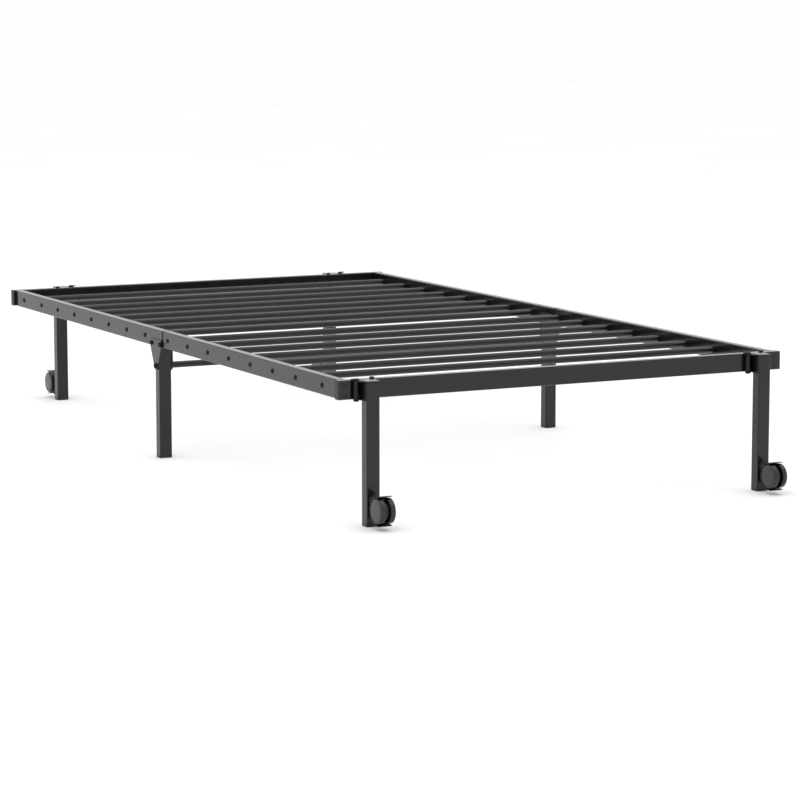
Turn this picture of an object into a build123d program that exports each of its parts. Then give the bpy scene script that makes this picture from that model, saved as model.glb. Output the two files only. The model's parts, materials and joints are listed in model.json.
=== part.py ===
"""Folding metal platform bed frame for a 100 x 190 cm mattress, standing open.

Frame: +X to the right, +Y from the foot end to the head end, +Z up. The origin is on
the floor, under the pivots at mid length. Lengths are in millimetres.

The frame is two hinged halves. Each half is two side rails, an end rail, eight slats
and two end legs. The halves turn about a crossbar that joins the two middle legs, a
little below the rails, so the frame folds with its undersides together.
"""
import os

from build123d import *

os.makedirs("parts", exist_ok=True)

# ---- overall sizes
frame_width = 1070.0        # end rail, tip to tip
frame_length = 1965.0       # between the outer faces of the end rails
frame_height = 300.0        # floor to the top of the rails

# ---- rails
rail_height = 40.0
rail_depth = 20.0
rail_wall = 1.5
rail_radius = 2.5           # rounded edges of the rolled tube
side_inset = 6.0            # side rail's outer face, in from the end rail's tips
cap_thickness = 2.0         # plastic cap on an open tube end
plug_depth = 14.0           # how far a plug goes into its tube
plug_clearance = 0.1

# ---- slats
slat_diameter = 15.0
slat_wall = 1.2
slats_per_half = 8
slat_first_step = 130.0     # from the outermost slat to the next one
foot_slat_start = 92.0      # outermost slat, from the end rail's outer face
head_slat_start = 82.0
foot_slat_last = 24.3       # innermost slat, from the side rail's end at the fold
head_slat_last = 105.3
slat_plug = 12.0            # threaded plug in each slat end
slat_bolt = 6.0
slat_bolt_head = 11.0
slat_bolt_head_height = 2.5
slat_bolt_grip = 30.0       # shank under the head
bolt_clearance = 0.1        # on the diameter of a bolted hole

# ---- fold joint
joint_offset = 35.5         # middle of the gap between the rails, towards the foot end
joint_gap = 7.0
pivot_drop = 44.0           # pivot line, below the rails
pivot_bolt = 10.0
pivot_head = 13.0
pivot_head_height = 4.0
pivot_reach = 28.0          # pivot bolt inside the crossbar
running = 0.08              # radial clearance of a turning fit
side_gap = 0.3              # between faces that slide past each other
crossbar_diameter = 15.0

gusset_thickness = 3.5
gusset_half_width = 32.0
gusset_rise = 18.0          # lap of the gusset on the rail
gusset_tip_radius = 10.0
gusset_bolt = 6.0
gusset_bolt_head = 12.0
gusset_bolt_head_height = 4.0
gusset_bolt_spread = 25.0   # from the pivot line, along the rail
gusset_bolt_height = 7.5    # above the underside of the rail
gusset_bolt_length = 22.0

arm_thickness = 4.0
arm_half_width = 10.0          # of the part that goes down behind the middle leg
arm_eye_radius = 13.0
arm_pad_width = 12.0
arm_pad_setback = 2.0       # from the rail's end
arm_pad_margin = 2.0        # from the rail's underside
arm_top_drop = 13.0         # below the rail's top, so that the mattress lies over it

# ---- legs
leg_width = 30.0            # along the bed's width
leg_depth = 25.0            # along the bed's length
leg_wall = 1.5
leg_radius = 2.5
foot_height = 4.0           # plastic foot under each leg
mid_leg_clearance = 3.5     # between a middle leg's top and the rail above it
leg_gap = 8.5               # between an end rail and the legs outside it
foot_leg_inset = 47.0       # end leg's outer side, in from the end rail's tip
head_leg_inset = 128.0      # further in, so that the folded legs pass each other
leg_top_plate = 3.0

# ---- hinge of an end leg
barrel_diameter = 13.0
barrel_sink = 0.5           # weld of the barrel into the rail's wall
barrel_offset = 10.5        # hinge line, from the leg's side
hinge_pin = 8.0
pin_head = 12.0
pin_head_height = 4.0
pin_lug_length = 6.0
pin_lug_width = 3.5
pin_lug_height = 2.5
lug_clearance = 1.0         # lug over the top of the end rail
leaf_thickness = 2.5
leaf_width = 20.0
ear_radius = 5.5

# ---- lock of an end leg
lock_plate = 2.5            # stop bracket's sheet
lock_flange = 3.0           # flange over the leg's top
lock_height = 32.0
lock_bolt = 6.0
lock_bolt_shift = 18.0      # from the leg's middle, away from the hinge
lock_bolt_depth = 18.0
lock_head = 11.0
lock_head_height = 3.5

# ---- casters, on the outward faces of the end legs
axle_height = 40.0
axle_reach = 44.0           # from the leg's outward face
stem_rise = 16.0            # stem's line, above the axle
stem_diameter = 10.0
stem_length = 12.0          # inside the leg
collar_diameter = 18.0
collar_length = 22.0
seat_diameter = 22.0
seat_thickness = 3.0
wheel_diameter = 53.0
wheel_width = 12.0
wheel_edge = 2.5
wheel_side_gap = 1.0
wheel_cover = 1.0           # closed outer face over the axle's end
axle_diameter = 8.0
axle_end_gap = 0.3
web_thickness = 8.0
web_radius = 19.0
fender_gap = 1.5
fender_thickness = 2.0
fender_lip = 6.0            # past the wheel's top and bottom, away from the leg
tab_radius = 5.0            # finger tab under the hood
tab_setback = 10.0          # from the axle, towards the leg

# ---- places that follow from them
rail_low = frame_height - rail_height
rail_mid = frame_height - rail_height / 2
half_length = frame_length / 2
side_outer = frame_width / 2 - side_inset
side_mid = side_outer - rail_depth / 2
side_inner = side_outer - rail_depth
pivot_height = rail_low - pivot_drop
foot_rail_end = -joint_offset - joint_gap / 2
head_rail_end = -joint_offset + joint_gap / 2
mid_leg_x = side_outer - side_gap - leg_width / 2
mid_leg_inner = mid_leg_x - leg_width / 2
mid_leg_top = rail_low - mid_leg_clearance
gusset_outer = side_outer + gusset_thickness
foot_slats = [-half_length + foot_slat_start]
head_slats = [half_length - head_slat_start]
foot_second = foot_slats[0] + slat_first_step
head_second = head_slats[0] - slat_first_step
foot_pitch = (foot_rail_end - foot_slat_last - foot_second) / (slats_per_half - 2)
head_pitch = (head_second - head_rail_end - head_slat_last) / (slats_per_half - 2)
for step in range(slats_per_half - 1):
    foot_slats.append(foot_second + step * foot_pitch)
    head_slats.append(head_second - step * head_pitch)


def section_along_y(x, y, z):
    """Plane across the bed's length at y: its x is the bed's X, its normal is +Y."""
    return Plane(origin=(x, y, z), x_dir=(1, 0, 0), z_dir=(0, 1, 0))


def section_along_x(x, y, z):
    """Plane across the bed's width at x: its x is the bed's Y, its y is up."""
    return Plane(origin=(x, y, z), x_dir=(0, 1, 0), z_dir=(1, 0, 0))


def side_plane(side, distance):
    """Plane that faces outwards on one side of the bed, with its y axis up."""
    return Plane(origin=(side * distance, 0, 0), x_dir=(0, side, 0), z_dir=(side, 0, 0))


def save(built, name):
    """Label a finished piece and write its STEP file."""
    built.part.label = name
    export_step(built.part, f"parts/{name}.step")


# ---- side rails: one for each side of each half, drilled right through at each slat
for half, start, end, slats in (("foot", -half_length + rail_depth, foot_rail_end, foot_slats),
                                ("head", head_rail_end, half_length - rail_depth, head_slats)):
    for side, side_name in ((-1, "left"), (1, "right")):
        with BuildPart() as side_rail:
            with BuildSketch(section_along_y(side * side_mid, start, rail_mid)):
                RectangleRounded(rail_depth, rail_height, rail_radius)
                Rectangle(rail_depth - 2 * rail_wall, rail_height - 2 * rail_wall,
                          mode=Mode.SUBTRACT)
            extrude(amount=end - start)
            with BuildSketch(section_along_x(side * side_mid, 0, rail_mid)):
                with Locations([(y, 0) for y in slats]):
                    Circle((slat_bolt + bolt_clearance) / 2)
            extrude(amount=rail_depth, both=True, mode=Mode.SUBTRACT)
            if half == "head":
                with BuildSketch(section_along_x(side * side_mid, 0,
                                                 rail_low + gusset_bolt_height)):
                    with Locations((-gusset_bolt_spread, 0), (gusset_bolt_spread, 0)):
                        Circle((gusset_bolt + bolt_clearance) / 2)
                extrude(amount=rail_depth, both=True, mode=Mode.SUBTRACT)
        save(side_rail, f"{half}_side_rail_{side_name}")

# ---- slats: round tubes with a threaded plug welded into each end
slat_half = side_inner
for half, slats in (("foot", foot_slats), ("head", head_slats)):
    for number, y in enumerate(slats, start=1):
        with BuildPart() as slat:
            with BuildSketch(section_along_x(-slat_half, y, rail_mid)):
                Circle(slat_diameter / 2)
                Circle((slat_bolt + bolt_clearance) / 2, mode=Mode.SUBTRACT)
            extrude(amount=2 * slat_half)
            with BuildSketch(section_along_x(-slat_half + slat_plug, y, rail_mid)):
                Circle(slat_diameter / 2 - slat_wall)
            extrude(amount=2 * (slat_half - slat_plug), mode=Mode.SUBTRACT)
        save(slat, f"{half}_slat_{number}")

# ---- slat bolts: a low round head outside the rail, the shank in the slat's plug
for half, slats in (("foot", foot_slats), ("head", head_slats)):
    with BuildPart() as slat_bolts:
        for side in (-1, 1):
            with BuildSketch(side_plane(side, side_outer)):
                with Locations([(side * y, rail_mid) for y in slats]):
                    Circle(slat_bolt_head / 2)
            extrude(amount=slat_bolt_head_height)
            with BuildSketch(side_plane(side, side_outer)):
                with Locations([(side * y, rail_mid) for y in slats]):
                    Circle(slat_bolt / 2)
            extrude(amount=-slat_bolt_grip)
    save(slat_bolts, f"{half}_slat_bolts")

# ---- middle legs, joined by the crossbar that the halves turn about
for side, side_name in ((-1, "left"), (1, "right")):
    with BuildPart() as mid_leg:
        with BuildSketch(Plane.XY.offset(foot_height)):
            with Locations((side * mid_leg_x, 0)):
                RectangleRounded(leg_width, leg_depth, leg_radius)
                Rectangle(leg_width - 2 * leg_wall, leg_depth - 2 * leg_wall,
                          mode=Mode.SUBTRACT)
        extrude(amount=mid_leg_top - foot_height)
        with BuildSketch(Plane.XY.offset(mid_leg_top)):
            with Locations((side * mid_leg_x, 0)):
                RectangleRounded(leg_width, leg_depth, leg_radius)
        extrude(amount=-leg_wall)
        with BuildSketch(side_plane(side, mid_leg_inner)):
            with Locations((0, pivot_height)):
                Circle((pivot_bolt + bolt_clearance) / 2)
        extrude(amount=leg_width, mode=Mode.SUBTRACT)
    save(mid_leg, f"mid_leg_{side_name}")

with BuildPart() as crossbar:
    with BuildSketch(section_along_x(-mid_leg_inner, 0, pivot_height)):
        Circle(crossbar_diameter / 2)
        Circle((pivot_bolt + bolt_clearance) / 2, mode=Mode.SUBTRACT)
    extrude(amount=2 * mid_leg_inner)
save(crossbar, "mid_crossbar")

with BuildPart() as pivot_bolts:
    for side in (-1, 1):
        with BuildSketch(side_plane(side, gusset_outer + side_gap)):
            with Locations((0, pivot_height)):
                Circle(pivot_head / 2)
        extrude(amount=pivot_head_height)
        with BuildSketch(side_plane(side, gusset_outer + side_gap)):
            with Locations((0, pivot_height)):
                Circle(pivot_bolt / 2)
        extrude(amount=-(gusset_outer + side_gap - mid_leg_inner + pivot_reach))
save(pivot_bolts, "pivot_bolts")

with BuildPart() as mid_feet:
    for side in (-1, 1):
        with BuildSketch(Plane.XY):
            with Locations((side * mid_leg_x, 0)):
                RectangleRounded(leg_width, leg_depth, leg_radius)
        extrude(amount=foot_height)
        with BuildSketch(Plane.XY.offset(foot_height)):
            with Locations((side * mid_leg_x, 0)):
                Rectangle(leg_width - 2 * leg_wall - 2 * plug_clearance,
                          leg_depth - 2 * leg_wall - 2 * plug_clearance)
        extrude(amount=plug_depth)
save(mid_feet, "mid_leg_feet")

# ---- gussets: triangular plates that hang from the head half's rails to the pivots
gusset_top = rail_low + gusset_rise
for side, side_name in ((-1, "left"), (1, "right")):
    with BuildPart() as gusset:
        with BuildSketch(side_plane(side, side_outer)):
            with Locations((0, pivot_height)):
                Circle(gusset_tip_radius)
            with Locations((0, (gusset_top + rail_low) / 2)):
                Rectangle(2 * gusset_half_width, gusset_rise)
            make_hull()
            with Locations((0, pivot_height)):
                Circle(pivot_bolt / 2 + running, mode=Mode.SUBTRACT)
            with Locations((-gusset_bolt_spread, rail_low + gusset_bolt_height),
                           (gusset_bolt_spread, rail_low + gusset_bolt_height)):
                Circle((gusset_bolt + bolt_clearance) / 2, mode=Mode.SUBTRACT)
        extrude(amount=gusset_thickness)
    save(gusset, f"gusset_{side_name}")

with BuildPart() as gusset_bolts:
    for side in (-1, 1):
        spots = [(-gusset_bolt_spread, rail_low + gusset_bolt_height),
                 (gusset_bolt_spread, rail_low + gusset_bolt_height)]
        with BuildSketch(side_plane(side, gusset_outer)):
            with Locations(spots):
                Circle(gusset_bolt_head / 2)
        extrude(amount=gusset_bolt_head_height)
        with BuildSketch(side_plane(side, gusset_outer)):
            with Locations(spots):
                Circle(gusset_bolt / 2)
        extrude(amount=-gusset_bolt_length)
save(gusset_bolts, "gusset_bolts")

# ---- hinge arms: bent plates inside the foot half's rails. Each runs along inside the joint,
# then down behind the middle leg to an eye round the crossbar.
arm_outer = mid_leg_inner - side_gap
pad_end = foot_rail_end - arm_pad_setback
pad_low = rail_low + arm_pad_margin
pad_high = frame_height - arm_top_drop
for side, side_name in ((-1, "left"), (1, "right")):
    with BuildPart() as hinge_arm:
        with BuildSketch(side_plane(side, arm_outer)):
            with Locations((0, pivot_height)):
                Circle(arm_eye_radius)
            with Locations((0, pad_high)):
                Rectangle(2 * arm_half_width, pad_high - pad_low, align=(Align.CENTER, Align.MAX))
            make_hull()
            with Locations((side * arm_half_width, pad_high)):
                Rectangle(arm_half_width + arm_pad_width - pad_end, pad_high - pad_low,
                          align=(Align.MAX if side > 0 else Align.MIN, Align.MAX))
            with Locations((0, pivot_height)):
                Circle(crossbar_diameter / 2 + running, mode=Mode.SUBTRACT)
        extrude(amount=-arm_thickness)
        with BuildSketch(side_plane(side, arm_outer)):
            with Locations((side * (pad_end - arm_pad_width / 2), (pad_low + pad_high) / 2)):
                Rectangle(arm_pad_width, pad_high - pad_low)
        extrude(amount=side_inner - arm_outer)
    save(hinge_arm, f"hinge_arm_{side_name}")

# ---- end units: end rail with its hinge barrels and lock brackets, legs and casters
leg_out = leg_gap + leg_depth
leg_middle = leg_gap + leg_depth / 2
leg_top = frame_height - lock_flange - side_gap
barrel_out = barrel_diameter / 2 - barrel_sink
barrel_back = leg_width / 2 + barrel_offset
barrel_low = rail_low + leaf_thickness + 2 * side_gap
barrel_high = frame_height - leaf_thickness - 2 * side_gap
leaf_low = rail_low + side_gap
leaf_high = frame_height - side_gap
fender_inner = wheel_diameter / 2 + fender_gap
fender_outer = fender_inner + fender_thickness
caster_half_width = web_thickness / 2 + wheel_side_gap + wheel_width
stem_height = axle_height + stem_rise

for half, out, inset in (("foot", -1, foot_leg_inset), ("head", 1, head_leg_inset)):
    # Seen from outside the bed, the hinge is on the left of every leg. In a leg's own
    # plane, x runs away from the hinge and y runs in, from the end rail's outer face.
    leg_x = frame_width / 2 - inset - leg_width / 2
    legs = []
    for side, side_name in ((-1, "left"), (1, "right")):
        corner = Plane(origin=(side * leg_x, out * half_length, 0),
                       x_dir=(-out, 0, 0), z_dir=(0, 0, 1))
        legs.append((side, side_name, corner))

    with BuildPart() as end_rail:
        with BuildSketch(section_along_x(-frame_width / 2 + cap_thickness,
                                         out * (half_length - rail_depth / 2), rail_mid)):
            RectangleRounded(rail_depth, rail_height, rail_radius)
            Rectangle(rail_depth - 2 * rail_wall, rail_height - 2 * rail_wall,
                      mode=Mode.SUBTRACT)
        extrude(amount=frame_width - 2 * cap_thickness)
        for side, side_name, corner in legs:
            with BuildSketch(corner.offset(barrel_low)):
                with Locations((-barrel_back, -barrel_out)):
                    Circle(barrel_diameter / 2)
            extrude(amount=barrel_high - barrel_low)
            with BuildSketch(corner.offset(frame_height - lock_height)):
                with Locations((0, 0)):
                    Rectangle(leg_width, lock_plate, align=(Align.CENTER, Align.MAX))
                with Locations((-leg_width / 2, 0)):
                    Rectangle(lock_plate, leg_gap - side_gap, align=(Align.MIN, Align.MAX))
                with Locations((leg_width / 2, 0)):
                    Rectangle(lock_plate, leg_gap - side_gap, align=(Align.MAX, Align.MAX))
            extrude(amount=lock_height)
            with BuildSketch(corner.offset(frame_height - lock_flange)):
                Rectangle(leg_width, leg_out, align=(Align.CENTER, Align.MAX))
            extrude(amount=lock_flange)
        for side, side_name, corner in legs:
            with BuildSketch(corner.offset(barrel_low)):
                with Locations((-barrel_back, -barrel_out)):
                    Circle(hinge_pin / 2 + running)
            extrude(amount=barrel_high - barrel_low, mode=Mode.SUBTRACT)
            with BuildSketch(corner.offset(frame_height)):
                with Locations((lock_bolt_shift, rail_depth / 2)):
                    Circle((lock_bolt + bolt_clearance) / 2)
            extrude(amount=-2 * rail_wall, mode=Mode.SUBTRACT)
    save(end_rail, f"{half}_end_rail")

    with BuildPart() as rail_plugs:
        for side in (-1, 1):
            with BuildSketch(side_plane(side, frame_width / 2 - cap_thickness)):
                with Locations((side * out * (half_length - rail_depth / 2), rail_mid)):
                    RectangleRounded(rail_depth, rail_height, rail_radius)
            extrude(amount=cap_thickness)
            with BuildSketch(side_plane(side, frame_width / 2 - cap_thickness)):
                with Locations((side * out * (half_length - rail_depth / 2), rail_mid)):
                    Rectangle(rail_depth - 2 * rail_wall - 2 * plug_clearance,
                              rail_height - 2 * rail_wall - 2 * plug_clearance)
            extrude(amount=-plug_depth)
            joint_end = foot_rail_end if half == "foot" else head_rail_end
            with BuildSketch(section_along_y(side * side_mid, joint_end, rail_mid)):
                RectangleRounded(rail_depth, rail_height, rail_radius)
            extrude(amount=-out * cap_thickness)
    save(rail_plugs, f"{half}_rail_plugs")

    for side, side_name, corner in legs:
        place = f"{half}_{side_name}"

        with BuildPart() as leg:
            with BuildSketch(corner.offset(foot_height)):
                with Locations((0, -leg_middle)):
                    RectangleRounded(leg_width, leg_depth, leg_radius)
                    Rectangle(leg_width - 2 * leg_wall, leg_depth - 2 * leg_wall,
                              mode=Mode.SUBTRACT)
            extrude(amount=leg_top - foot_height)
            with BuildSketch(corner.offset(leg_top)):
                with Locations((0, -leg_middle)):
                    RectangleRounded(leg_width, leg_depth, leg_radius)
            extrude(amount=-leg_top_plate)
            with BuildSketch(section_along_y(side * leg_x, out * (half_length + leg_middle),
                                             stem_height)):
                Circle(stem_diameter / 2 + running)
            extrude(amount=out * leg_depth, mode=Mode.SUBTRACT)
        save(leg, f"{place}_leg")

        # The leaf is welded to the leg. Its pin is welded between its two ears.
        with BuildPart() as hinge:
            for low in (leaf_low, leaf_high - leaf_thickness):
                with BuildSketch(corner.offset(low)):
                    with Locations((-barrel_back, -barrel_out)):
                        Circle(ear_radius)
                    with Locations((-leg_width / 2, -leg_middle)):
                        Rectangle(leaf_thickness, leaf_width, align=(Align.MAX, Align.CENTER))
                    make_hull()
                extrude(amount=leaf_thickness)
            with BuildSketch(corner.offset(leaf_low)):
                with Locations((-leg_width / 2, -leg_middle)):
                    Rectangle(leaf_thickness, leaf_width, align=(Align.MAX, Align.CENTER))
            extrude(amount=leaf_high - leaf_low)
            with BuildSketch(corner.offset(leaf_low)):
                with Locations((-barrel_back, -barrel_out)):
                    Circle(hinge_pin / 2)
            extrude(amount=leaf_high - leaf_low)
            for level, height in ((leaf_low, -pin_head_height), (leaf_high, pin_head_height)):
                with BuildSketch(corner.offset(level)):
                    with Locations((-barrel_back, -barrel_out)):
                        Circle(pin_head / 2)
                extrude(amount=height)
            with BuildSketch(corner.offset(frame_height + lug_clearance)):
                with Locations((-barrel_back, -barrel_out)):
                    Rectangle(pin_head / 2 + pin_lug_length, pin_lug_width,
                              align=(Align.MAX, Align.CENTER))
            extrude(amount=pin_lug_height)
        save(hinge, f"{place}_leg_hinge")

        with BuildPart() as lock:
            with BuildSketch(corner.offset(frame_height)):
                with Locations((lock_bolt_shift, rail_depth / 2)):
                    Circle(lock_bolt / 2)
            extrude(amount=-lock_bolt_depth)
            with BuildSketch(corner.offset(frame_height)):
                with Locations((lock_bolt_shift, rail_depth / 2)):
                    Circle(lock_head / 2)
            extrude(amount=lock_head_height)
        save(lock, f"{place}_lock_bolt")

        with BuildPart() as foot:
            with BuildSketch(corner):
                with Locations((0, -leg_middle)):
                    RectangleRounded(leg_width, leg_depth, leg_radius)
            extrude(amount=foot_height)
            with BuildSketch(corner.offset(foot_height)):
                with Locations((0, -leg_middle)):
                    Rectangle(leg_width - 2 * leg_wall - 2 * plug_clearance,
                              leg_depth - 2 * leg_wall - 2 * plug_clearance)
            extrude(amount=plug_depth)
        save(foot, f"{place}_foot")

        # ---- caster: its stem lies along the bed and turns in the leg's outward wall
        face = out * (half_length + leg_out)
        axle_plane = Plane(origin=(side * leg_x, face + out * axle_reach, axle_height),
                           x_dir=(0, out, 0), z_dir=(out, 0, 0))
        with BuildPart() as caster:
            with BuildSketch(section_along_y(side * leg_x, face + out * side_gap, stem_height)):
                Circle(collar_diameter / 2)
            extrude(amount=out * collar_length)
            with BuildSketch(axle_plane):
                Circle(fender_inner)
            extrude(amount=caster_half_width, both=True, mode=Mode.SUBTRACT)
            with BuildSketch(axle_plane):
                Circle(fender_outer)
                Circle(fender_inner, mode=Mode.SUBTRACT)
                with Locations((fender_lip, 0)):
                    Rectangle(fender_outer, 2 * fender_outer, align=(Align.MIN, Align.CENTER),
                              mode=Mode.SUBTRACT)
            extrude(amount=caster_half_width, both=True)
            with BuildSketch(axle_plane):
                Circle(fender_inner + fender_thickness / 2)
                Rectangle(fender_outer, 2 * fender_outer, align=(Align.MIN, Align.CENTER),
                          mode=Mode.SUBTRACT)
                Circle(web_radius)
                with Locations((-tab_setback, -fender_inner)):
                    Circle(tab_radius)
            extrude(amount=web_thickness / 2, both=True)
            with BuildSketch(axle_plane):
                Circle(axle_diameter / 2)
            extrude(amount=caster_half_width - wheel_cover - axle_end_gap, both=True)
            with BuildSketch(section_along_y(side * leg_x, face + out * side_gap, stem_height)):
                Circle(seat_diameter / 2)
            extrude(amount=out * seat_thickness)
            with BuildSketch(section_along_y(side * leg_x, face + out * side_gap, stem_height)):
                Circle(stem_diameter / 2)
            extrude(amount=-out * stem_length)
        save(caster, f"{place}_caster_hood")

        with BuildPart() as wheels:
            for turn in (-1, 1):
                near = turn * (web_thickness / 2 + wheel_side_gap)
                with BuildSketch(axle_plane.offset(near)):
                    Circle(wheel_diameter / 2)
                extrude(amount=turn * wheel_width)
                with BuildSketch(axle_plane.offset(near)):
                    Circle(axle_diameter / 2 + running)
                extrude(amount=turn * (wheel_width - wheel_cover), mode=Mode.SUBTRACT)
            rims = wheels.edges().filter_by(GeomType.CIRCLE).group_by(SortBy.RADIUS)[-1]
            fillet(rims, wheel_edge)
        save(wheels, f"{place}_caster_wheels")
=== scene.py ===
# %% [markdown]
# # A folding metal bed frame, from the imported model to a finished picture
# The bed is dark powder-coated steel tube: two hinged halves with round slats, two middle
# legs that carry the fold, and four end legs with casters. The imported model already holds
# every tube at its real size. This lesson gives each finish its look and makes anew the small
# pieces that a plain solid only hints at: screws with sockets, hinges, caps, feet, welds and
# casters. Each is a surface worked out on a grid, because a formula says exactly what a
# pressed, turned or moulded shape is.

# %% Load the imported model
import json
import math

import bmesh
import bpy
import numpy as np
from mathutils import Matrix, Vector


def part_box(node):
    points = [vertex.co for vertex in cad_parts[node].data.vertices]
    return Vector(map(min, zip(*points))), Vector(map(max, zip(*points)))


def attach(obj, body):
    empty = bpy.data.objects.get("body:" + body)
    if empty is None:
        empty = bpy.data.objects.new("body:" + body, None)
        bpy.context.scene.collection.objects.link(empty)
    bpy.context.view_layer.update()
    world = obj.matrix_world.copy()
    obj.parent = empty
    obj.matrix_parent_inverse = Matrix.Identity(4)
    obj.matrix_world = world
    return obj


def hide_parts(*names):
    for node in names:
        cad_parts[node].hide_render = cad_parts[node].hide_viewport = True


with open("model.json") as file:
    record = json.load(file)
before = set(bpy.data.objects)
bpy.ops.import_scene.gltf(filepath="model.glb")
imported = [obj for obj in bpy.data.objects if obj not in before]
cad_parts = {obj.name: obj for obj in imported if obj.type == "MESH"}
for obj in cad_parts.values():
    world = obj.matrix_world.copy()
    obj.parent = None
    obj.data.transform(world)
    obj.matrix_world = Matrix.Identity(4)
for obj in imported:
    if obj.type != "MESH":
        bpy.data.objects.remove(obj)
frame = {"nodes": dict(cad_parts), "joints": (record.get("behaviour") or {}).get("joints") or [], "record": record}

MM = 0.001
HALVES = (("foot", -1), ("head", 1))
SIDES = (("left", -1), ("right", 1))
PLACES = [(f"{half}_{side}", out) for half, out in HALVES for side, _ in SIDES]
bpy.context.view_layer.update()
joint_at = {joint["name"]: np.array(joint["pos_m"]) for joint in frame["joints"]}


def box(node):
    """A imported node's lowest corner, highest corner and middle, in metres."""
    low, high = (np.array(corner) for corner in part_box(node))
    return low, high, (low + high) / 2


# %% [markdown]
# ## The camera
# A long lens far away keeps the rails nearly parallel, as furniture is usually shown.
# The camera is set by where it aims, how far it turns from the bed's length, how far it looks
# down, and its distance. Those four say more than a position and three angles would, and each
# can be changed alone.

# %% Camera
aim = np.array([-0.029, -0.258, 0.136])   # a little towards the foot end from the middle
distance = 7.0
turn = math.radians(26.84)                # from the bed's length towards its right side
fall = math.radians(8.14)                 # below the horizon
lens = 135.8                              # mm, on a 36 mm sensor

forward = np.array([math.sin(turn) * math.cos(fall), math.cos(turn) * math.cos(fall),
                    -math.sin(fall)])
camera = bpy.data.objects.new("camera", bpy.data.cameras.new("camera"))
camera.data.lens = lens
camera.data.clip_start = 0.05
camera.data.clip_end = 400
camera.location = aim - distance * forward
camera.rotation_euler = (math.pi / 2 - fall, 0, -turn)
bpy.context.scene.collection.objects.link(camera)
bpy.context.scene.camera = camera
print("camera at", np.round(camera.location, 3))

# %% [markdown]
# ## Colours and nodes
# Paint and plastic are named by their sRGB codes, the numbers on a colour card. Shaders want
# linear light, so one function turns the codes over. A second one adds a node with its
# settings and its links, which keeps each finish below to a few readable lines.

# %% Colours and nodes
def linear(code):
    """Linear colour of an sRGB code: c / 12.92 where c is small, else ((c + 0.055) / 1.055) to 2.4."""
    share = np.array([int(code[at:at + 2], 16) / 255 for at in (1, 3, 5)])
    share = np.where(share <= 0.04045, share / 12.92, ((share + 0.055) / 1.055) ** 2.4)
    return (*share.tolist(), 1.0)


def add(tree, kind, sockets=None, **settings):
    """Add a node. Sockets take a value or another node's output; settings are its properties."""
    node = tree.nodes.new(kind)
    for name, value in settings.items():
        setattr(node, name, value)
    for name, value in (sockets or {}).items():
        if isinstance(value, bpy.types.NodeSocket):
            tree.links.new(value, node.inputs[name])
        else:
            node.inputs[name].default_value = value
    return node


def new_finish(name):
    """An empty material: its node tree and the object's own coordinates, in metres."""
    finish = bpy.data.materials.new(name)
    finish.use_nodes = True
    finish.node_tree.nodes.clear()
    place = add(finish.node_tree, "ShaderNodeTexCoord").outputs["Object"]
    return finish, finish.node_tree, place


def mottle(tree, place, size, low, high, detail=3.0):
    """A number that drifts between low and high, in patches of about that size in metres."""
    noise = add(tree, "ShaderNodeTexNoise", {"Vector": place, "Scale": 1 / size, "Detail": detail})
    spread = add(tree, "ShaderNodeMapRange", {"Value": noise.outputs["Fac"], "From Min": 0.3,
                                              "From Max": 0.7, "To Min": low, "To Max": high})
    return spread.outputs["Result"]


def between(tree, share, first, second):
    """A colour between two codes."""
    blend = add(tree, "ShaderNodeMix", {0: share, 6: linear(first), 7: linear(second)},
                data_type="RGBA")
    return blend.outputs[2]


def relief(tree, height, depth, under=None):
    """A bump of that depth in metres, on top of another bump if one is given."""
    sockets = {"Height": height, "Distance": depth, "Strength": 1.0}
    if under is not None:
        sockets["Normal"] = under
    return add(tree, "ShaderNodeBump", sockets).outputs["Normal"]


# %% [markdown]
# ## Powder-coated steel
# The tubes are sprayed with dry paint powder and baked, which melts it into a thick, even
# skin. It is satin, nearly black with a trace of green, and it levels out with a faint orange
# peel. Seen square on it is dark, and at a low angle it mirrors the pale room, which is why
# the top faces look almost white. A plain dielectric with a medium roughness does exactly
# that, so nothing is painted lighter by hand.

# %% Satin powder-coated steel
def satin_powder_coat():
    """Baked paint on steel: dark, satin, softly rippled. The ripple breaks up long reflections."""
    peel_wave = 1.4 * MM      # real orange peel
    wide_wave = 9 * MM        # drawn this coarse as well, because the real one is too fine to show
    finish, tree, place = new_finish("satin_powder_coated_steel")
    colour = between(tree, mottle(tree, place, 60 * MM, 0, 1), "#080d0b", "#0e1411")
    peel = add(tree, "ShaderNodeTexNoise", {"Vector": place, "Scale": 1 / peel_wave})
    wide = add(tree, "ShaderNodeTexNoise", {"Vector": place, "Scale": 1 / wide_wave})
    skin = relief(tree, wide.outputs["Fac"], 0.03 * MM)
    skin = relief(tree, peel.outputs["Fac"], 0.012 * MM, skin)
    shader = add(tree, "ShaderNodeBsdfPrincipled", {
        "Base Color": colour, "IOR": 1.45, "Normal": skin,
        "Roughness": mottle(tree, place, 25 * MM, 0.16, 0.21)})
    add(tree, "ShaderNodeOutputMaterial", {"Surface": shader.outputs["BSDF"]})
    return finish


powder_coat = satin_powder_coat()

# %% [markdown]
# ## Blackened steel
# Bolts, hinge leaves, barrels and pins are zinc-plated and passivated black. It is a metal, so
# its colour is in its reflection: dark, a little brown-blue in patches, with fine tool marks.
# It could be a black plastic shader, but that would keep white highlights where a blackened
# metal dulls them.

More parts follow.
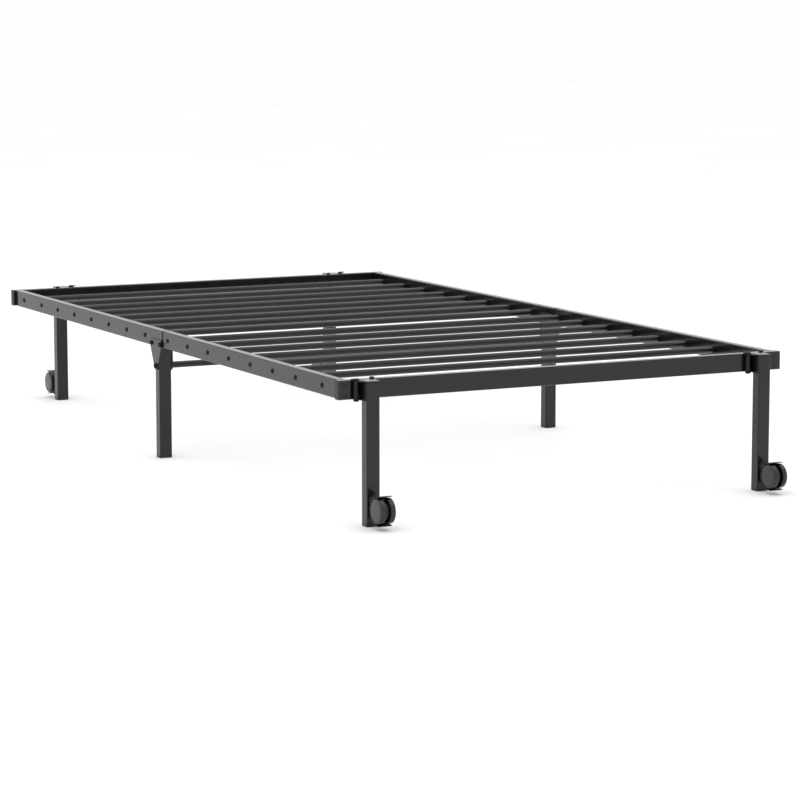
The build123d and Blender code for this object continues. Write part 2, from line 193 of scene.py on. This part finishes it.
# %% Black zinc on steel
def black_zinc():
    """Black passivated zinc: dark metal with fine tool marks and a slightly patchy sheen."""
    mark_spacing = 0.5 * MM
    finish, tree, place = new_finish("black_zinc_plated_steel")
    colour = between(tree, mottle(tree, place, 7 * MM, 0, 1), "#2b2c2d", "#343331")
    marks = add(tree, "ShaderNodeTexNoise", {"Vector": place, "Scale": 1 / mark_spacing,
                                             "Detail": 4.0})
    shader = add(tree, "ShaderNodeBsdfPrincipled", {
        "Base Color": colour, "Metallic": 1.0,
        "Roughness": mottle(tree, place, 4 * MM, 0.38, 0.52),
        "Normal": relief(tree, marks.outputs["Fac"], 0.02 * MM)})
    add(tree, "ShaderNodeOutputMaterial", {"Surface": shader.outputs["BSDF"]})
    return finish


blackened = black_zinc()

# %% [markdown]
# ## Moulded plastics
# Three plastics are on the bed. The tube caps and feet are soft polyethylene, matt and a
# little waxy. The caster hoods are nylon from a spark-eroded mould, which prints a fine even
# grain. The wheels are harder polypropylene from a polished mould, so they gleam. They differ
# in colour, gloss and grain, and one function takes those three.

# %% Moulded plastics
def moulded(name, first, second, grain, depth, smooth, rough):
    """A moulded plastic: two close colours in patches, and a grain of that size and depth."""
    finish, tree, place = new_finish(name)
    pits = add(tree, "ShaderNodeTexNoise", {"Vector": place, "Scale": 1 / grain, "Detail": 2.0})
    shader = add(tree, "ShaderNodeBsdfPrincipled", {
        "Base Color": between(tree, mottle(tree, place, 12 * MM, 0, 1), first, second),
        "IOR": 1.49, "Roughness": mottle(tree, place, 8 * MM, smooth, rough),
        "Normal": relief(tree, pits.outputs["Fac"], depth)})
    add(tree, "ShaderNodeOutputMaterial", {"Surface": shader.outputs["BSDF"]})
    return finish


polyethylene = moulded("moulded_polyethylene", "#0e1010", "#131515", 0.6 * MM, 0.03 * MM, 0.45, 0.55)
nylon = moulded("spark_grained_nylon", "#060707", "#0a0b0b", 0.45 * MM, 0.04 * MM, 0.42, 0.5)
polypropylene = moulded("polished_polypropylene", "#0c0f0f", "#111414", 2.5 * MM, 0.01 * MM,
                        0.16, 0.22)

finish_of_slot = {"powder_coat": powder_coat, "black_hardware": blackened,
                  "cap_plastic": polyethylene, "hood_plastic": nylon,
                  "wheel_plastic": polypropylene}
for row in frame["record"]["subparts"]:
    for holder in frame["nodes"][row["node"]].material_slots:
        holder.material = finish_of_slot[row["material_slot"]]
print("finishes:", [finish.name for finish in finish_of_slot.values()])

# %% [markdown]
# ## Shapes on a grid
# A new piece is made of point grids. Rows run along the shape and columns run round it, and
# the last column joins the first. Three families are enough for this bed: a profile turned
# about an axis, a stack of outlines, and an outline carried along a path. Each is worked out
# as one array. A row whose points all meet is a pole, which closes the end.

# %% Turned shapes
TAU = 2 * math.pi


def steps_round(count):
    """Angles of count equal steps round a full turn."""
    return np.arange(count) * TAU / count


def turned(stations, columns=32):
    """Carry a profile round an axis. A station (r, h, k) is a ring at height h, in millimetres:
    a circle of radius r at k = 0, and a hexagon 2 r across its flats at k = 1. The radius at
    angle a is r (1 + k (1 / cos b - 1)), where b is a folded into -30 to 30 degrees."""
    rings = np.array([(*station, 0.0)[:3] for station in stations]) * (MM, MM, 1)
    angle = steps_round(columns)
    folded = np.mod(angle, TAU / 6) - TAU / 12
    radius = rings[:, :1] * (1 + rings[:, 2:] * (1 / np.cos(folded) - 1))
    height = np.broadcast_to(rings[:, 1:2], radius.shape)
    return np.stack([radius * np.cos(angle), radius * np.sin(angle), height], axis=-1)


def quarter(radius, height, rise, drop, count=6):
    """Stations of a rounded edge: from a ring of that radius at height, in by rise and up by drop,
    along a quarter of an ellipse: radius - rise (1 - cos t), height + drop sin t."""
    t = np.linspace(0, TAU / 4, count)
    return list(zip(radius - rise * (1 - np.cos(t)), height + drop * np.sin(t)))


# %% [markdown]
# Pressed and cut plates, caps and feet are stacks of one outline, drawn in a little at the
# edges for the round that pressing or moulding leaves. Welds and the caster's hood are an
# outline carried along a path, turned to follow it.

# %% Stacks and sweeps
def round_rectangle(half_x, half_y, radius, inset, per_corner=5):
    """Outline of a rectangle with round corners, drawn in by inset: each corner's centre plus
    the radius in the directions of its quarter turn. Inset may be a column of values."""
    corner = np.repeat(np.arange(4), per_corner)
    angle = (corner + np.tile(np.linspace(0, 1, per_corner), 4)) * TAU / 4
    middle = (corner + 0.5) * TAU / 4
    bend = np.maximum(radius - inset, 0.05)
    x = np.sign(np.cos(middle)) * (half_x - inset - bend) + bend * np.cos(angle)
    y = np.sign(np.sin(middle)) * (half_y - inset - bend) + bend * np.sin(angle)
    return np.stack([x, y], axis=-1)


def capped(grid):
    """Close a grid's two ends, each with a pole in the middle of its end row."""
    first = np.broadcast_to(grid[:1].mean(axis=1, keepdims=True), grid[:1].shape)
    last = np.broadcast_to(grid[-1:].mean(axis=1, keepdims=True), grid[-1:].shape)
    return np.concatenate([first, grid, last])


def block(half_x, half_y, radius, stations):
    """A stack of round rectangles. Station (inset, height), in millimetres, from one end to the
    other; both ends are closed."""
    inset, height = np.array(stations, float).T
    outline = round_rectangle(half_x, half_y, radius, inset[:, None])
    level = np.broadcast_to(height[:, None, None], (*outline.shape[:2], 1))
    return capped(np.concatenate([outline, level], axis=-1) * MM)


def plate(outline_at, thickness, edge):
    """A flat plate: outline_at(inset) gives the outline, and both faces' edges are broken by edge."""
    stations = ((edge, 0), (0, edge), (0, thickness - edge), (edge, thickness))
    rows = [np.column_stack([outline_at(inset), np.full(len(outline_at(inset)), height)])
            for inset, height in stations]
    return capped(np.stack(rows) * MM)


def swept(path, outline, across):
    """Carry an outline along a path in one plane. Its first coordinate lies along `across`, the
    plane's normal, and its second along the cross product of `across` and the path's direction."""
    along = np.gradient(path, axis=0)
    along /= np.linalg.norm(along, axis=1, keepdims=True)
    side = np.cross(across, along)
    return path[:, None] + outline[..., :1] * np.array(across) + outline[..., 1:] * side[:, None]


def placed(grid, origin, along, across):
    """Move a shape from its own axes into the bed's: its z becomes along, its x becomes across."""
    along, across = np.array(along, float), np.array(across, float)
    side = np.cross(along, across)
    return np.array(origin) + grid[..., :1] * across + grid[..., 1:2] * side + grid[..., 2:] * along


# %% [markdown]
# A piece joins its grids into one mesh. Points that meet at poles and seams are merged, and
# the faces are then turned outwards. Edges sharper than 35 degrees stay crisp and the rest
# shade smoothly, as a rounded part does. It then rides on the body that it moves with.

# %% Pieces
SHARP = math.radians(35)
made = []


def piece(name, grids, body, slot, stands_for=()):
    """One object from point grids, with its finish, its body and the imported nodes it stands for."""
    faces, start = [], 0
    for grid in grids:
        rows, columns = grid.shape[:2]
        row, column = np.meshgrid(np.arange(rows - 1), np.arange(columns), indexing="ij")
        here, beside = row * columns + column, row * columns + (column + 1) % columns
        quads = np.stack([here, beside, beside + columns, here + columns], axis=-1)
        faces.append(quads.reshape(-1, 4) + start)
        start += rows * columns
    points = np.concatenate([grid.reshape(-1, 3) for grid in grids])
    mesh = bpy.data.meshes.new(name)
    mesh.from_pydata(points, [], np.concatenate(faces))
    work = bmesh.new()
    work.from_mesh(mesh)
    bmesh.ops.remove_doubles(work, verts=work.verts, dist=0.002 * MM)
    bmesh.ops.recalc_face_normals(work, faces=work.faces)
    work.to_mesh(mesh)
    work.free()
    mesh.shade_smooth()
    mesh.set_sharp_from_angle(angle=SHARP)
    mesh.materials.append(finish_of_slot[slot])
    built = bpy.data.objects.new(name, mesh)
    bpy.context.scene.collection.objects.link(built)
    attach(built, body)
    if stands_for:
        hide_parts(*stands_for)
    made.append(built)
    print(f"{name}: {len(mesh.polygons)} faces on {body}")
    return built


# %% [markdown]
# ## Screws
# Each slat is held by a button-head screw through the side rail. The head is a low dome with a
# hexagon socket. The profile starts at the socket's floor, climbs its six flat walls, runs
# over the dome and down the shank, so one turned surface makes it all. The pivot screws are
# the same shape, larger.

# %% Button-head screws
def button_screw(radius, height, socket, depth, shank, grip):
    """Stations of a button-head screw, from the socket's floor over the dome to the shank's end."""
    rim = socket * 1.22
    dome = quarter(radius, 0.28 * height, radius - rim, 0.72 * height)[:-1]
    return [(0, height - depth), (socket, height - depth, 1), (socket, height - 0.12 * depth, 1),
            (rim, height), *reversed(dome), (radius - 0.2, 0), (shank, 0), (shank, -grip), (0, -grip)]


slat_screw = turned(button_screw(5.5, 2.5, 2.0, 1.6, 3.0, 28), columns=24)
for half, out in HALVES:
    grids = []
    for side_name, side in SIDES:
        rail_low, rail_high, _ = box(f"{half}_side_rail_{side_name}")
        face = rail_high[0] if side > 0 else rail_low[0]
        for number in range(1, 9):
            middle = box(f"{half}_slat_{number}")[2]
            grids.append(placed(slat_screw, (face, middle[1], middle[2]), (side, 0, 0), (0, 1, 0)))
    piece(f"{half}_slat_screws", grids, f"{half}_half", "black_hardware", [f"{half}_slat_bolts"])

pivot_screw = turned(button_screw(6.5, 4.0, 2.5, 2.4, 5.0, 58))
pivot_low, pivot_high, pivot_middle = box("pivot_bolts")
pivot_head = 4 * MM
piece("pivot_screws", [placed(pivot_screw, (side * (pivot_high[0] - pivot_head), *pivot_middle[1:]),
                              (side, 0, 0), (0, 1, 0)) for _, side in SIDES],
      "mid_frame", "black_hardware", ["pivot_bolts"])

# %% [markdown]
# The gussets are held by flange bolts. A forged hexagon head has its six corners cut by a
# cone, so its top ring is a circle and the rings below it are hexagons. Beside each end leg a
# low button-head bolt goes down through the top of the rail, where the leg's stop is fixed.

# %% Gusset and lock bolts
def hex_bolt(flange, flange_height, half_flats, height, shank, grip):
    """Stations of a hexagon bolt with a flange under its head."""
    lip = 0.3
    return [(0, height - 0.25), (half_flats * 0.72, height - 0.25), (half_flats * 0.95, height),
            (half_flats, height - 0.5, 1), (half_flats, flange_height, 1),
            (flange - lip, flange_height), (flange, flange_height - lip), (flange, lip),
            (flange - lip, 0), (shank, 0), (shank, -grip), (0, -grip)]


gusset_bolt = turned(hex_bolt(6.0, 1.2, 4.0, 4.0, 3.0, 20), columns=24)
bolt_spread = 25 * MM                         # either side of the pivot line
bolt_level = box("head_side_rail_left")[0][2] + 7.5 * MM
gusset_face = box("gusset_right")[1][0]
piece("gusset_flange_bolts",
      [placed(gusset_bolt, (side * gusset_face, end * bolt_spread, bolt_level), (side, 0, 0), (0, 1, 0))
       for _, side in SIDES for end in (-1, 1)],
      "head_half", "black_hardware", ["gusset_bolts"])

lock_screw = turned(button_screw(5.5, 3.5, 2.0, 1.8, 3.0, 17), columns=24)
for half, _ in HALVES:
    rail_top = box(f"{half}_rail_plugs")[1][2]
    bolts = [f"{half}_{side}_lock_bolt" for side, _ in SIDES]
    piece(f"{half}_lock_screws", [placed(lock_screw, (*box(bolt)[2][:2], rail_top), (0, 0, 1), (1, 0, 0))
                                  for bolt in bolts], f"{half}_half", "black_hardware", bolts)

# %% [markdown]
# Each end rail is screwed to the side rails behind it. Two low pan-head screws show near each
# tip, one over the other. They were put in before spraying, so the coat covers them too.

# %% Corner screws
corner_screw = turned(button_screw(4.5, 1.6, 1.5, 1.1, 2.0, 4), columns=24)
corner_levels = (10 * MM, 32 * MM)            # below the top of the rail
corner_offset = 3 * MM                        # out from the side rail's middle
for half, out in HALVES:
    rail_high = box(f"{half}_rail_plugs")[1]
    across_at = box(f"{half}_side_rail_right")[2][0] + corner_offset
    face = box(f"{half}_rail_plugs")[0 if out < 0 else 1][1]
    piece(f"{half}_corner_screws",
          [placed(corner_screw, (side * across_at, face, rail_high[2] - level), (0, out, 0), (1, 0, 0))
           for _, side in SIDES for level in corner_levels],
          f"{half}_half", "powder_coat")


# %% [markdown]
# ## Leg hinges
# Each end leg hangs on a vertical pin. A leaf is welded to the leg, two ears reach from it
# round the barrel on the rail, and the pin runs through them with a pressed head at each end.
# A short lug on the upper head is the stop. An ear's outline is the taut band round the pin's
# boss and the leaf's corners, which is how a plate is drawn when it only has to join two
# things. Beyond that the hinge is a block, a turned pin and a small block for the lug.

# %% Hinge leaves, ears and pins
def taut(circles, inset, count=48):
    """Outline of a taut band round circles (x, y, r): in every direction, the centre of the circle
    that reaches furthest plus its radius, less the inset, in that direction."""
    angle = steps_round(count)
    way = np.stack([np.cos(angle), np.sin(angle)], axis=-1)
    x, y, radius = np.array(circles, float).T
    furthest = (way @ np.stack([x, y]) + radius).argmax(axis=1)
    return np.stack([x, y], axis=-1)[furthest] + (radius[furthest, None] - inset) * way


leaf_far = abs(box("foot_right_leg")[0][0] - joint_at["foot_right_leg_swing"][0]) / MM
leaf_near = leaf_far - 2.5                    # from the pin's axis, towards the leg
leaf_back, leaf_front = -25.0, -5.0           # along the leg's side, out from the bed
leaf_half_height = 19.7
pin_half_height = 23.7
corners = [(leaf_near + 0.8, leaf_back + 0.8, 0.8), (leaf_far - 0.8, leaf_back + 0.8, 0.8),
           (leaf_near + 0.8, leaf_front - 0.8, 0.8), (leaf_far - 0.8, leaf_front - 0.8, 0.8)]
ear = plate(lambda inset: taut([(0, 0, 5.5), *corners], inset), 2.5, 0.3)
leaf = block(1.25, 10, 0.5, [(0.4, -19.7), (0, -19.3), (0, 19.3), (0.4, 19.7)])
leaf = leaf + np.array([(leaf_near + leaf_far) / 2, (leaf_back + leaf_front) / 2, 0]) * MM
lug = block(6, 1.75, 0.5, [(0.4, 21), (0, 21.4), (0, 23.1), (0.4, 23.5)]) + np.array([-6, 0, 0]) * MM
head = quarter(6.0, 1.8, 2.6, 2.2)
pin_top = [(4.0, 0), (4.0, leaf_half_height), (5.7, leaf_half_height),
           (6.0, leaf_half_height + 0.3), *[(r, leaf_half_height + h) for r, h in head],
           (0, pin_half_height)]
pin = turned([(r, -h) for r, h in reversed(pin_top)] + pin_top[1:])
knuckle = turned([(4.6, -17.0), (6.2, -17.0), (6.65, -16.6), (6.65, 17.0), (6.2, 17.1), (4.6, 17.1),
                  (4.6, -17.0)])

for place, out in PLACES:
    axis = joint_at[f"{place}_leg_swing"]
    parts = [ear + np.array([0, 0, -leaf_half_height]) * MM,
             ear + np.array([0, 0, leaf_half_height - 2.5]) * MM, leaf, lug, pin]
    piece(f"{place}_hinge_leaf", [placed(part, axis, (0, 0, 1), (-out, 0, 0)) for part in parts],
          f"{place}_leg_unit", "black_hardware", [f"{place}_leg_hinge"])
for half, out in HALVES:
    piece(f"{half}_hinge_knuckles",
          [placed(knuckle, joint_at[f"{half}_{side}_leg_swing"], (0, 0, 1), (-out, 0, 0))
           for side, _ in SIDES], f"{half}_half", "black_hardware")

# %% [markdown]
# ## Welds
# The barrels are welded to the end rails, the leaves to the legs and the hinge arms' pads to
# the side rails. A weld laid by hand is a row of small overlapping puddles. Here it's a
# circle carried along the seam, whose radius rises and falls a little with each puddle, and
# runs down to a point at both ends. The powder coat covers it, so it shows only as a soft
# rippled line along the joint.

# %% Weld beads
def weld(start, end, size, puddle=2.2):
    """A circle carried from start to end, in millimetres. At distance s along the seam its radius
    is size (1 + 0.1 cos (2 pi s / puddle)), times the square root of 1 - e ** 4, where e runs
    from -1 to 1 between the two ends."""
    start, end = np.array(start, float) * MM, np.array(end, float) * MM
    length = np.linalg.norm(end - start) / MM
    share = (1 - np.cos(np.linspace(0, math.pi, max(24, int(length * 3))))) / 2
    radius = size * (1 + 0.1 * np.cos(TAU * share * length / puddle))
    radius *= np.sqrt(1 - (2 * share - 1) ** 4)
    angle = steps_round(10)
    outline = radius[:, None, None] * np.stack([np.cos(angle), np.sin(angle)], axis=-1) * MM
    along = (end - start) / np.linalg.norm(end - start)
    across = np.cross(along, (1, 0, 0) if abs(along[0]) < 0.5 else (0, 1, 0))
    return swept(start + share[:, None] * (end - start), outline, across)


barrel_seam = 3.3                             # either side of the barrel, where it meets the rail
for half, out in HALVES:
    beads = []
    for side_name, _ in SIDES:
        x, y, z = joint_at[f"{half}_{side_name}_leg_swing"] / MM
        for step in (-barrel_seam, barrel_seam):
            beads.append(weld((x + step, y - out * 5.6, z - 16.5), (x + step, y - out * 5.6, z + 16.5), 1.1))
    piece(f"{half}_barrel_welds", beads, f"{half}_half", "powder_coat")

for place, out in PLACES:
    x, y, z = joint_at[f"{place}_leg_swing"] / MM
    seam = x - out * (leaf_far - 0.4)
    beads = [weld((seam, y - out * edge, z - 19), (seam, y - out * edge, z + 19), 0.9)
             for edge in (leaf_back - 0.3, leaf_front + 0.3)]
    piece(f"{place}_leaf_welds", beads, f"{place}_leg_unit", "powder_coat")

arm_low, arm_high, _ = box("hinge_arm_right")
pad_near, pad_far = arm_low[1] / MM, arm_low[1] / MM + 12
pad_low, pad_high = 263.5, arm_high[2] / MM - 1
beads = []
for side_name, side in SIDES:
    inner = side * 508.6
    beads.append(weld((inner, pad_near - 0.2, pad_low), (inner, pad_near - 0.2, pad_high), 1.3))
    beads.append(weld((inner, pad_far, pad_high + 1), (inner, pad_near, pad_high + 1), 1.2))
piece("hinge_arm_welds", beads, "foot_half", "powder_coat")

# %% [markdown]
# ## Caps and feet
# Every open tube end is closed with a moulded plug. Its flange is as large as the tube and
# has a rounded edge, so that it neither catches nor cuts. The feet are the same idea with a
# thicker flange, chamfered where it meets the floor. Each is a stack of the tube's own
# outline, drawn in for the part that goes inside.

# %% Caps and feet
plug_inset = 1.6                              # tube wall and a little clearance
rail_cap = block(10, 20, 2.5, [(plug_inset + 0.6, -14), (plug_inset, -13.2), (plug_inset, 0), (0, 0),
                               (0, 1.0), (0.2, 1.5), (0.6, 1.85), (1.3, 2.0)])
joint_cap = block(10, 20, 2.5, [(1.2, 0), (1.2, 1.1), (1.4, 1.6), (1.8, 1.9), (2.4, 2.0)])
foot_pad = block(15, 12.5, 2.5, [(1.5, 0), (0.5, 0.5), (0.1, 1.3), (0, 3.7), (0.3, 4.0),
                                 (plug_inset, 4.0), (plug_inset, 17.2), (plug_inset + 0.7, 18)])

for half, out in HALVES:
    low, high, middle = box(f"{half}_rail_plugs")
    tip = high[0] - 2 * MM
    level = middle[2]
    rail_y = (low if out < 0 else high)[1] - out * 10 * MM
    joint_y = (high if out < 0 else low)[1] + out * 2 * MM
    side_x = box(f"{half}_side_rail_right")[2][0]
    caps = [placed(rail_cap, (side * tip, rail_y, level), (side, 0, 0), (0, 1, 0)) for _, side in SIDES]
    caps += [placed(joint_cap, (side * side_x, joint_y, level), (0, -out, 0), (1, 0, 0))
             for _, side in SIDES]
    piece(f"{half}_rail_caps", caps, f"{half}_half", "cap_plastic", [f"{half}_rail_plugs"])

for place, out in PLACES:
    low, high, middle = box(f"{place}_foot")
    piece(f"{place}_foot_pad", [placed(foot_pad, (middle[0], middle[1], low[2]), (0, 0, 1), (1, 0, 0))],
          f"{place}_leg_unit", "cap_plastic", [f"{place}_foot"])
mid_leg_x = box("mid_leg_right")[2][0]
piece("mid_foot_pads", [placed(foot_pad, (side * mid_leg_x, 0, 0), (0, 0, 1), (1, 0, 0))
                        for _, side in SIDES], "mid_frame", "cap_plastic", ["mid_leg_feet"])

# %% [markdown]
# ## Caster wheels
# A twin caster has two wheels on one axle, with the hood's web between them. Each is turned
# here from one profile. The profile starts at the bottom of the blind bore, goes out over the
# hub and the recessed inner face, round the tread and over a rounded shoulder, and ends in the
# slightly domed outer disc with its ring groove.

# %% Caster wheels
wheel_radius = 26.5
near, far = 5.0, 17.0                         # the two faces of a wheel, from the caster's middle
shoulder = quarter(wheel_radius, 14.2, 2.6, 2.4, count=9)
wheel_profile = [(0, 16.0), (4.08, 16.0), (4.08, near), (7.6, near), (8.0, near + 0.4), (8.6, near + 3),
                 (20.6, near + 3), (21.4, near + 0.5), (21.9, near), (25.4, near), (26.2, near + 0.35),
                 (26.5, near + 1.1), *shoulder, (22.9, 16.65), (22.6, 16.3), (22.1, 16.3),
                 (21.8, 16.68), (21.0, 16.75), (12, 16.9), (6, 16.98), (0, far)]
wheel = turned(wheel_profile, columns=72)
for place, out in PLACES:
    axle = joint_at[f"{place}_wheel_spin"]
    piece(f"{place}_twin_wheels", [placed(wheel, axle, (turn_to, 0, 0), (0, 1, 0))
                                   for turn_to in (-1, 1)],
          f"{place}_wheels", "wheel_plastic", [f"{place}_caster_wheels"])

# %% [markdown]
# ## Caster hoods
# The hood is one moulding: a thin brim bent round the back of the wheels, a web between them,
# a seat and collar on the stem, and a finger tab below. The brim is an outline carried along
# an arc that runs out into two straight lips, the upper of which lifts a little at its tip.
# The web's outline is a radius that falls smoothly from the brim's to a smaller one in
# front. The collar's end follows the brim, so that the two meet without a gap.

# %% Caster hoods
hood_radius, lip_reach, lip_rise = 29.0, 7.0, 1.2


def brim():
    """The brim's thin outline carried over an arc of the hood's radius, from a quarter turn up,
    round the back, to a quarter turn down. Each end runs on as a lip: at reach x it stands
    rise x * x / reach * reach above the arc's tangent."""
    lip = np.linspace(lip_reach, 0, 8)
    lift = hood_radius + lip_rise * (lip / lip_reach) ** 2
    turn_back = np.linspace(TAU / 4, 3 * TAU / 4, 41)[1:-1]
    arc = hood_radius * np.stack([np.cos(turn_back), np.sin(turn_back)], axis=-1)
    path = np.concatenate([np.stack([lip, lift], -1), arc, np.stack([lip[::-1], -lift[::-1]], -1)])
    path = np.column_stack([path, np.zeros(len(path))]) * MM
    outline = round_rectangle(16.6, 0.9, 0.7, 0.0) * MM
    return capped(swept(path, np.broadcast_to(outline, (len(path), *outline.shape)), (0, 0, 1)))


def web_outline(inset):
    """Radius 29 behind and 19 in front, blended over 16 degrees either side of the quarter turns."""
    angle = steps_round(96)
    blend = np.clip((np.cos(angle) + 0.14) / 0.28, 0, 1)
    radius = 29 - 10 * blend * blend * (3 - 2 * blend) - inset
    return radius[:, None] * np.stack([np.cos(angle), np.sin(angle)], axis=-1)


def collar(stem_rise, axle_reach):
    """The seat and the collar, turned. The collar's last rings stop at the brim: where a ring is v
    above the axle, at reach - sqrt(29 ** 2 - v ** 2) from the leg."""
    grid = turned([(0, 0.3), (10.6, 0.3), (11, 0.7), (11, 2.9), (10.6, 3.3), (9.4, 3.5), (9, 4.2),
                   (9, 40), (6, 40), (3, 40), (0, 40)], columns=40)
    above = stem_rise * MM + grid[..., 1]
    stop = axle_reach * MM - np.sqrt((29 * MM) ** 2 - above ** 2)
    grid[..., 2] = np.minimum(grid[..., 2], stop)
    return grid


web = plate(web_outline, 8, 0.5) + np.array([0, 0, -4]) * MM
tab = plate(lambda inset: taut([(-10, -24, 5), (-10, -28, 5)], inset), 8, 1.0) + np.array([0, 0, -4]) * MM
axle_rod = turned([(0, -15.7), (3.6, -15.7), (4, -15.3), (4, 15.3), (3.6, 15.7), (0, 15.7)])
stem = turned([(0, -12), (4.2, -12), (5, -11.2), (5, 0.5), (0, 0.5)])
for place, out in PLACES:
    axle = joint_at[f"{place}_wheel_spin"]
    root = joint_at[f"{place}_caster_swivel"]
    rise, reach = (axle[2] - root[2]) / -MM, abs(axle[1] - root[1]) / MM
    grids = [placed(part, axle, (out, 0, 0), (0, out, 0)) for part in (brim(), web, tab, axle_rod)]
    grids += [placed(part, root, (0, out, 0), (-out, 0, 0)) for part in (collar(rise, reach), stem)]
    piece(f"{place}_hood", grids, f"{place}_swivel", "hood_plastic", [f"{place}_caster_hood"])

# %% [markdown]
# ## Floor and light
# The bed stands on a pale sweep in an evenly lit white room. Light comes from every side, so
# no face is in full shade, and a dark satin surface shows its form by how much of the room it
# mirrors. Two large soft lights, one at the left and one above, lift the left and top faces a
# little more.

# %% Floor and light
def pale_sweep():
    """Matt white paint on a studio floor. A slight drift in tone keeps it from being one flat colour."""
    finish, tree, place = new_finish("matt_white_studio_paint")
    colour = between(tree, mottle(tree, place, 0.8, 0, 1), "#fbfbfb", "#f8f8f8")
    shader = add(tree, "ShaderNodeBsdfPrincipled", {"Base Color": colour, "Roughness": 0.9})
    shader.inputs["Specular IOR Level"].default_value = 0.1
    add(tree, "ShaderNodeOutputMaterial", {"Surface": shader.outputs["BSDF"]})
    return finish


reach = 300.0
around = steps_round(96)
ring = np.stack([reach * np.cos(around), reach * np.sin(around), 0 * around], axis=-1)
floor_mesh = bpy.data.meshes.new("floor")
floor_mesh.from_pydata(ring, [], [list(range(len(ring)))])
floor_mesh.materials.append(pale_sweep())
floor = bpy.data.objects.new("floor", floor_mesh)
bpy.context.scene.collection.objects.link(floor)

world = bpy.data.worlds.new("white_room")
world.use_nodes = True
world.node_tree.nodes["Background"].inputs["Color"].default_value = (1.0, 1.0, 1.0, 1)
world.node_tree.nodes["Background"].inputs["Strength"].default_value = 1.04
bpy.context.scene.world = world


def soft_light(name, place, aim_at, width, height, power):
    """A rectangular studio light at a place, turned towards a point."""
    light = bpy.data.lights.new(name, "AREA")
    light.shape = "RECTANGLE"
    light.size, light.size_y, light.energy = width, height, power
    holder = bpy.data.objects.new(name, light)
    away = np.array(aim_at, float) - np.array(place, float)
    turn_z = math.atan2(away[0], -away[1])
    tilt = math.acos(-away[2] / np.linalg.norm(away))
    holder.location = place
    holder.rotation_euler = (tilt, 0, turn_z + math.pi)
    bpy.context.scene.collection.objects.link(holder)


soft_light("left_soft", (-6.0, 4.0, 2.2), (0, 0, 0.2), 5.0, 3.0, 12)
soft_light("overhead_soft", (0, -0.5, 5.0), (0, -0.5, 0), 8.0, 8.0, 110)
bpy.context.scene.view_settings.view_transform = "Standard"

# %% [markdown]
# ## Measure and finish
# The finished bed has to stay the size of the imported one, because both are the same object.
# The number of new pieces and their faces is printed.

# %% Measure and finish
print("new pieces:", len(made), "faces:", sum(len(built.data.polygons) for built in made))
